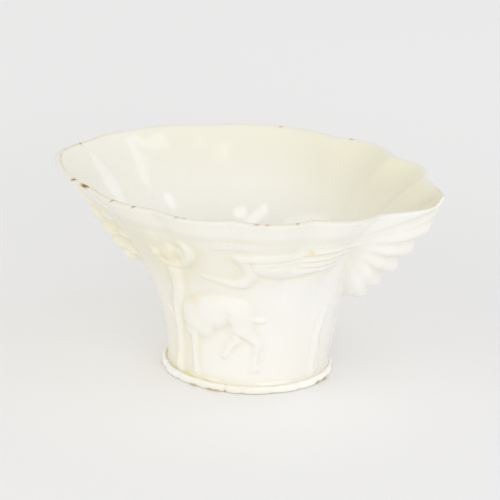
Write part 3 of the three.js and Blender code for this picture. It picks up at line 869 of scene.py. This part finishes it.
def joined(tree, operation, first, second):
    """Adds, multiplies or compares two values, each a socket or a plain number."""
    node = tree.nodes.new("ShaderNodeMath")
    node.operation = operation
    for value, socket in ((first, node.inputs[0]), (second, node.inputs[1])):
        if isinstance(value, (int, float)):
            socket.default_value = value
        else:
            link(tree, value, socket)
    return node.outputs["Value"]


def tinted(tree, share, under, over):
    """Mixes two colours, each a socket or a plain colour."""
    node = tree.nodes.new("ShaderNodeMix")
    node.data_type = "RGBA"
    link(tree, share, node.inputs["Factor"])
    for value, socket in ((under, node.inputs["A"]), (over, node.inputs["B"])):
        if isinstance(value, tuple):
            socket.default_value = value + (1,)
        else:
            link(tree, value, socket)
    return node.outputs["Result"]


def attribute(tree, name):
    node = tree.nodes.new("ShaderNodeAttribute")
    node.attribute_name = name
    return node.outputs["Fac"]


ivory = (0.868, 0.85, 0.81)
warm_ivory = (0.858, 0.837, 0.775)
# Painted light: the lighter colour laid where light is painted
painted_light_ivory = (0.98, 0.968, 0.918)
# The colour of pooled glaze, also used for painted shade
pooled_glaze_and_shade = (0.78, 0.755, 0.585)
ochre_stain = (0.8, 0.66, 0.32)
rust = (0.58, 0.38, 0.16)
brown_clay = (0.21, 0.13, 0.06)
dark_dirt = (0.2, 0.12, 0.05)
bare_clay = (0.75, 0.7, 0.6)


# Scales of the noise in the glaze
cloud_scale = 42
patch_scale = 260
peel_scale = 330
fine_scale = 900
grain_scale = 2600

# How the glaze shines and how deep its ripples are
glaze_ior = 1.5
smoothest = 0.06
roughest = 0.1
bare_roughness = 0.6
chip_roughness = 0.7
chip_depth = 2.0
ripple_strength = 0.35
ripple_depth = 0.00012


def glaze(name, marks):
    """Glossy ivory glaze, deeper where it pools and where shade is painted, lighter where light is painted,
    with stains, chips, dirt and wear where a piece is marked.
    """
    material = bpy.data.materials.new(name)
    material.use_nodes = True
    tree = material.node_tree
    shader = tree.nodes["Principled BSDF"]
    place = tree.nodes.new("ShaderNodeTexCoord").outputs["Object"]
    cloud = noise(tree, place, cloud_scale, 2)
    fine = noise(tree, place, fine_scale, 3, 0.6)
    grain = noise(tree, place, grain_scale, 2)
    peel = noise(tree, place, peel_scale, 2)
    colour = tinted(tree, ranged(tree, cloud, 0.36, 0.66), ivory, warm_ivory)
    # Painted light, where a piece is marked for it
    if "painted_light" in marks:
        colour = tinted(tree, attribute(tree, "painted_light"), colour, painted_light_ivory)
    # Pooled glaze and painted shade, where a piece is marked for them
    colour = tinted(tree, ranged(tree, attribute(tree, "pool_and_shade"), 0.02, 0.85), colour, pooled_glaze_and_shade)
    roughness = ranged(tree, peel, 0.3, 0.7, smoothest, roughest)
    broad_ripples = joined(tree, "MULTIPLY", peel, 0.5)
    ripples = joined(tree, "ADD", broad_ripples, joined(tree, "MULTIPLY", fine, 0.1))
    if "stain" in marks:
        patchy = joined(tree, "MULTIPLY", attribute(tree, "stain"), ranged(tree, fine, 0.2, 0.6))
        colour = tinted(tree, patchy, colour, ochre_stain)
    if "bare" in marks:
        bare = attribute(tree, "bare")
        colour = tinted(tree, bare, colour, bare_clay)
        roughness = joined(tree, "MAXIMUM", roughness, joined(tree, "MULTIPLY", bare, bare_roughness))
    if "dirt" in marks:
        broken = joined(tree, "ADD", attribute(tree, "dirt"), joined(tree, "MULTIPLY", fine, 0.9))
        colour = tinted(tree, ranged(tree, broken, 0.72, 1.3, 0, 0.75), colour, ochre_stain)
        colour = tinted(tree, ranged(tree, broken, 1.2, 1.65, 0, 0.85), colour, dark_dirt)
    if "chip" in marks:
        ragged = joined(tree, "ADD", attribute(tree, "chip"), joined(tree, "MULTIPLY", fine, 0.7))
        rusty = ranged(tree, ragged, 0.52, 0.9)
        colour = tinted(tree, joined(tree, "MULTIPLY", rusty, 0.72), colour, rust)
        open_clay = ranged(tree, ragged, 0.95, 1.15)
        colour = tinted(tree, open_clay, colour, brown_clay)
        roughness = joined(tree, "MAXIMUM", roughness, joined(tree, "MULTIPLY", open_clay, chip_roughness))
        ripples = joined(tree, "SUBTRACT", ripples, joined(tree, "MULTIPLY", open_clay, chip_depth))
    # Rust where the rim is worn, and painted shade inside the fluted tip
    if "wear_and_tip_shade" in marks:
        patches = ranged(tree, noise(tree, place, patch_scale, 3), 0.34, 0.58, 0.2, 0.8)
        thin = joined(tree, "MULTIPLY", attribute(tree, "wear_and_tip_shade"), patches)
        colour = tinted(tree, thin, colour, rust)
    speck = ranged(tree, grain, 0.735, 0.77, 0, 0.35)
    colour = tinted(tree, speck, colour, ochre_stain)
    bump = tree.nodes.new("ShaderNodeBump")
    bump.inputs["Strength"].default_value = ripple_strength
    bump.inputs["Distance"].default_value = ripple_depth
    link(tree, ripples, bump.inputs["Height"])
    link(tree, bump.outputs["Normal"], shader.inputs["Normal"])
    link(tree, colour, shader.inputs["Base Color"])
    link(tree, roughness, shader.inputs["Roughness"])
    shader.inputs["IOR"].default_value = glaze_ior
    return material


def dress(piece, material, slot_name, *nodes):
    piece.data.materials.clear()
    piece.data.materials.append(material)
    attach(piece, "root")
    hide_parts(*nodes)


sprigs = {
    "deer": deer(), "pine_trunk": pine_trunk(), "pine_crown": pine_crown(), "crane": crane(),
    "crane_wing": crane_wing(), "needle_spray": needle_spray(), "prunus_trunk": prunus_trunk(),
    "lip_branch": lip_branch(), "shell_end": shell_end(), "tiger": tiger(), "dragon": dragon(),
    "far_trunk": far_trunk(),
}
# Stains: the place in the drawing, the reach and the strength of each
stains = {
    "pine_crown": [(-24, 45.4, 1, 0.22), (-19.5, 45.6, 1.4, 0.46), (-14.5, 46.6, 1.1, 0.4)],
    "deer": [(-15, 31.4, 1.6, 0.45)],
    "crane_wing": [(39, 51.8, 0.6, 0.8)],
}
# Painted light: how much lighter the glaze is painted on some of the sprigs
pale = {"shell_end": 0.03, "pine_trunk": 0.28, "pine_crown": 0.36, "lip_branch": 0.5}

wall_glaze = glaze("wall_glaze", ("chip", "dirt", "wear_and_tip_shade", "painted_light"))
foot_glaze = glaze("foot_glaze", ("chip", "dirt", "bare", "painted_light"))
relief_glaze = glaze("relief_glaze", ("stain", "painted_light"))

dress(cup_wall(sprigs.values()), wall_glaze, "glazed_wall", "cup_body")
dress(foot(), foot_glaze, "glazed_foot", "foot_plate")
for node, sprig in sprigs.items():
    piece = lay_on_wall("pressed_" + node, sprig, stains.get(node, ()), pale.get(node, 0.0))
    dress(piece, relief_glaze, "glazed_relief", node)


# Floor, light and camera
floor_size = 6
# Painted light: the floor is lighter close to the cup, where its shadow would fall
floor_near = (0.918, 0.91, 0.898)
floor_middle = (0.858, 0.853, 0.847)
floor_away = (0.885, 0.881, 0.877)
near_reach = 0.03
middle_reach = 0.1
away_reach = 0.34
sky_colour = (1, 0.993, 0.986, 1)
sky_strength = 0.848
cool_light = (0.62, 0.78, 1)
fill_light = (0.96, 0.98, 1)
camera_place = (0.28833, -0.773, 0.36141)
camera_dip = 21.3766
camera_turn = 20.395
sensor_width = 36
focal_length = 5.70452 * sensor_width


def pale_floor():
    """Pale paper, with painted light close to the cup where its shadow would fall, a little darker a short
    way off and lighter again further out.
    """
    bpy.ops.object.select_all(action="DESELECT")
    bpy.ops.mesh.primitive_grid_add(x_subdivisions=4, y_subdivisions=4, size=floor_size)
    floor = bpy.context.object
    floor.name = "floor"
    material = bpy.data.materials.new("pale_paper")
    material.use_nodes = True
    tree = material.node_tree
    shader = tree.nodes["Principled BSDF"]
    place = tree.nodes.new("ShaderNodeTexCoord").outputs["Object"]
    away = tree.nodes.new("ShaderNodeVectorMath")
    away.operation = "LENGTH"
    link(tree, place, away.inputs[0])
    distance = away.outputs["Value"]
    colour = tinted(tree, ranged(tree, distance, near_reach, middle_reach), floor_near, floor_middle)
    colour = tinted(tree, ranged(tree, distance, middle_reach, away_reach), colour, floor_away)
    link(tree, colour, shader.inputs["Base Color"])
    shader.inputs["Roughness"].default_value = 0.9
    shader.inputs["Specular IOR Level"].default_value = 0.1
    floor.data.materials.append(material)


def softbox(name, place, aim, width, height, power, roll_by=0, tint=(1, 1, 1)):
    """A rectangular lamp that faces its aim, rolled about that line by some degrees."""
    bpy.ops.object.select_all(action="DESELECT")
    bpy.ops.object.light_add(type="AREA", location=place)
    lamp = bpy.context.object
    lamp.name = name
    lamp.data.shape = "RECTANGLE"
    lamp.data.size = width
    lamp.data.size_y = height
    lamp.data.energy = power
    lamp.data.color = tint
    away = np.array(place, float) - np.array(aim, float)
    flat = math.hypot(away[0], away[1])
    facing = Euler((math.atan2(flat, away[2]), 0, math.atan2(away[0], -away[1]))).to_matrix()
    lamp.rotation_euler = (facing @ Matrix.Rotation(math.radians(roll_by), 3, "Z")).to_euler()


def daylight():
    world = bpy.data.worlds.new("studio")
    bpy.context.scene.world = world
    world.use_nodes = True
    sky = world.node_tree.nodes["Background"]
    sky.inputs["Color"].default_value = sky_colour
    sky.inputs["Strength"].default_value = sky_strength


def camera():
    bpy.ops.object.select_all(action="DESELECT")
    tilt = math.radians(90 - camera_dip)
    bpy.ops.object.camera_add(location=camera_place, rotation=(tilt, 0, math.radians(camera_turn)))
    seen = bpy.context.object
    seen.data.sensor_width = sensor_width
    seen.data.lens = focal_length
    bpy.context.scene.camera = seen


pale_floor()
daylight()
softbox("overhead_strip", place=(0.555, -0.012, 1.217), aim=(-0.05, 0.015, 0.057),
        width=0.665, height=0.15, power=0.5, roll_by=-42, tint=cool_light)
softbox("back_strip", place=(0.459, 1.037, 0.728), aim=(-0.05, 0.005, 0.055),
        width=0.426, height=0.17, power=0.24, roll_by=-66.6, tint=cool_light)
softbox("right_pane", place=(0.86, -0.2, 1.03), aim=(-0.03, 0.01, 0.05),
        width=0.12, height=0.16, power=0.2, tint=cool_light)
softbox("front_pane", place=(0.235, -0.72, 1.15), aim=(-0.0285, 0.032, 0.06),
        width=0.05, height=0.08, power=0.018)
softbox("front_strip", place=(0.03, -1.185, 0.706), aim=(0, 0, 0.04),
        width=0.48, height=0.125, power=0.54, roll_by=-17)
softbox("front_square", place=(0.29, -1.13, 0.775), aim=(0, 0, 0.04),
        width=0.18, height=0.11, power=0.2)
softbox("right_fill", place=(1.05, -1.0, 0.36), aim=(0, 0, 0.03),
        width=1.3, height=0.6, power=5.4, tint=fill_light)
softbox("left_fill", place=(-1.05, -0.95, 0.36), aim=(0, 0, 0.03),
        width=1.3, height=0.6, power=3.25)
camera()
bpy.context.scene.view_settings.view_transform = "Standard"
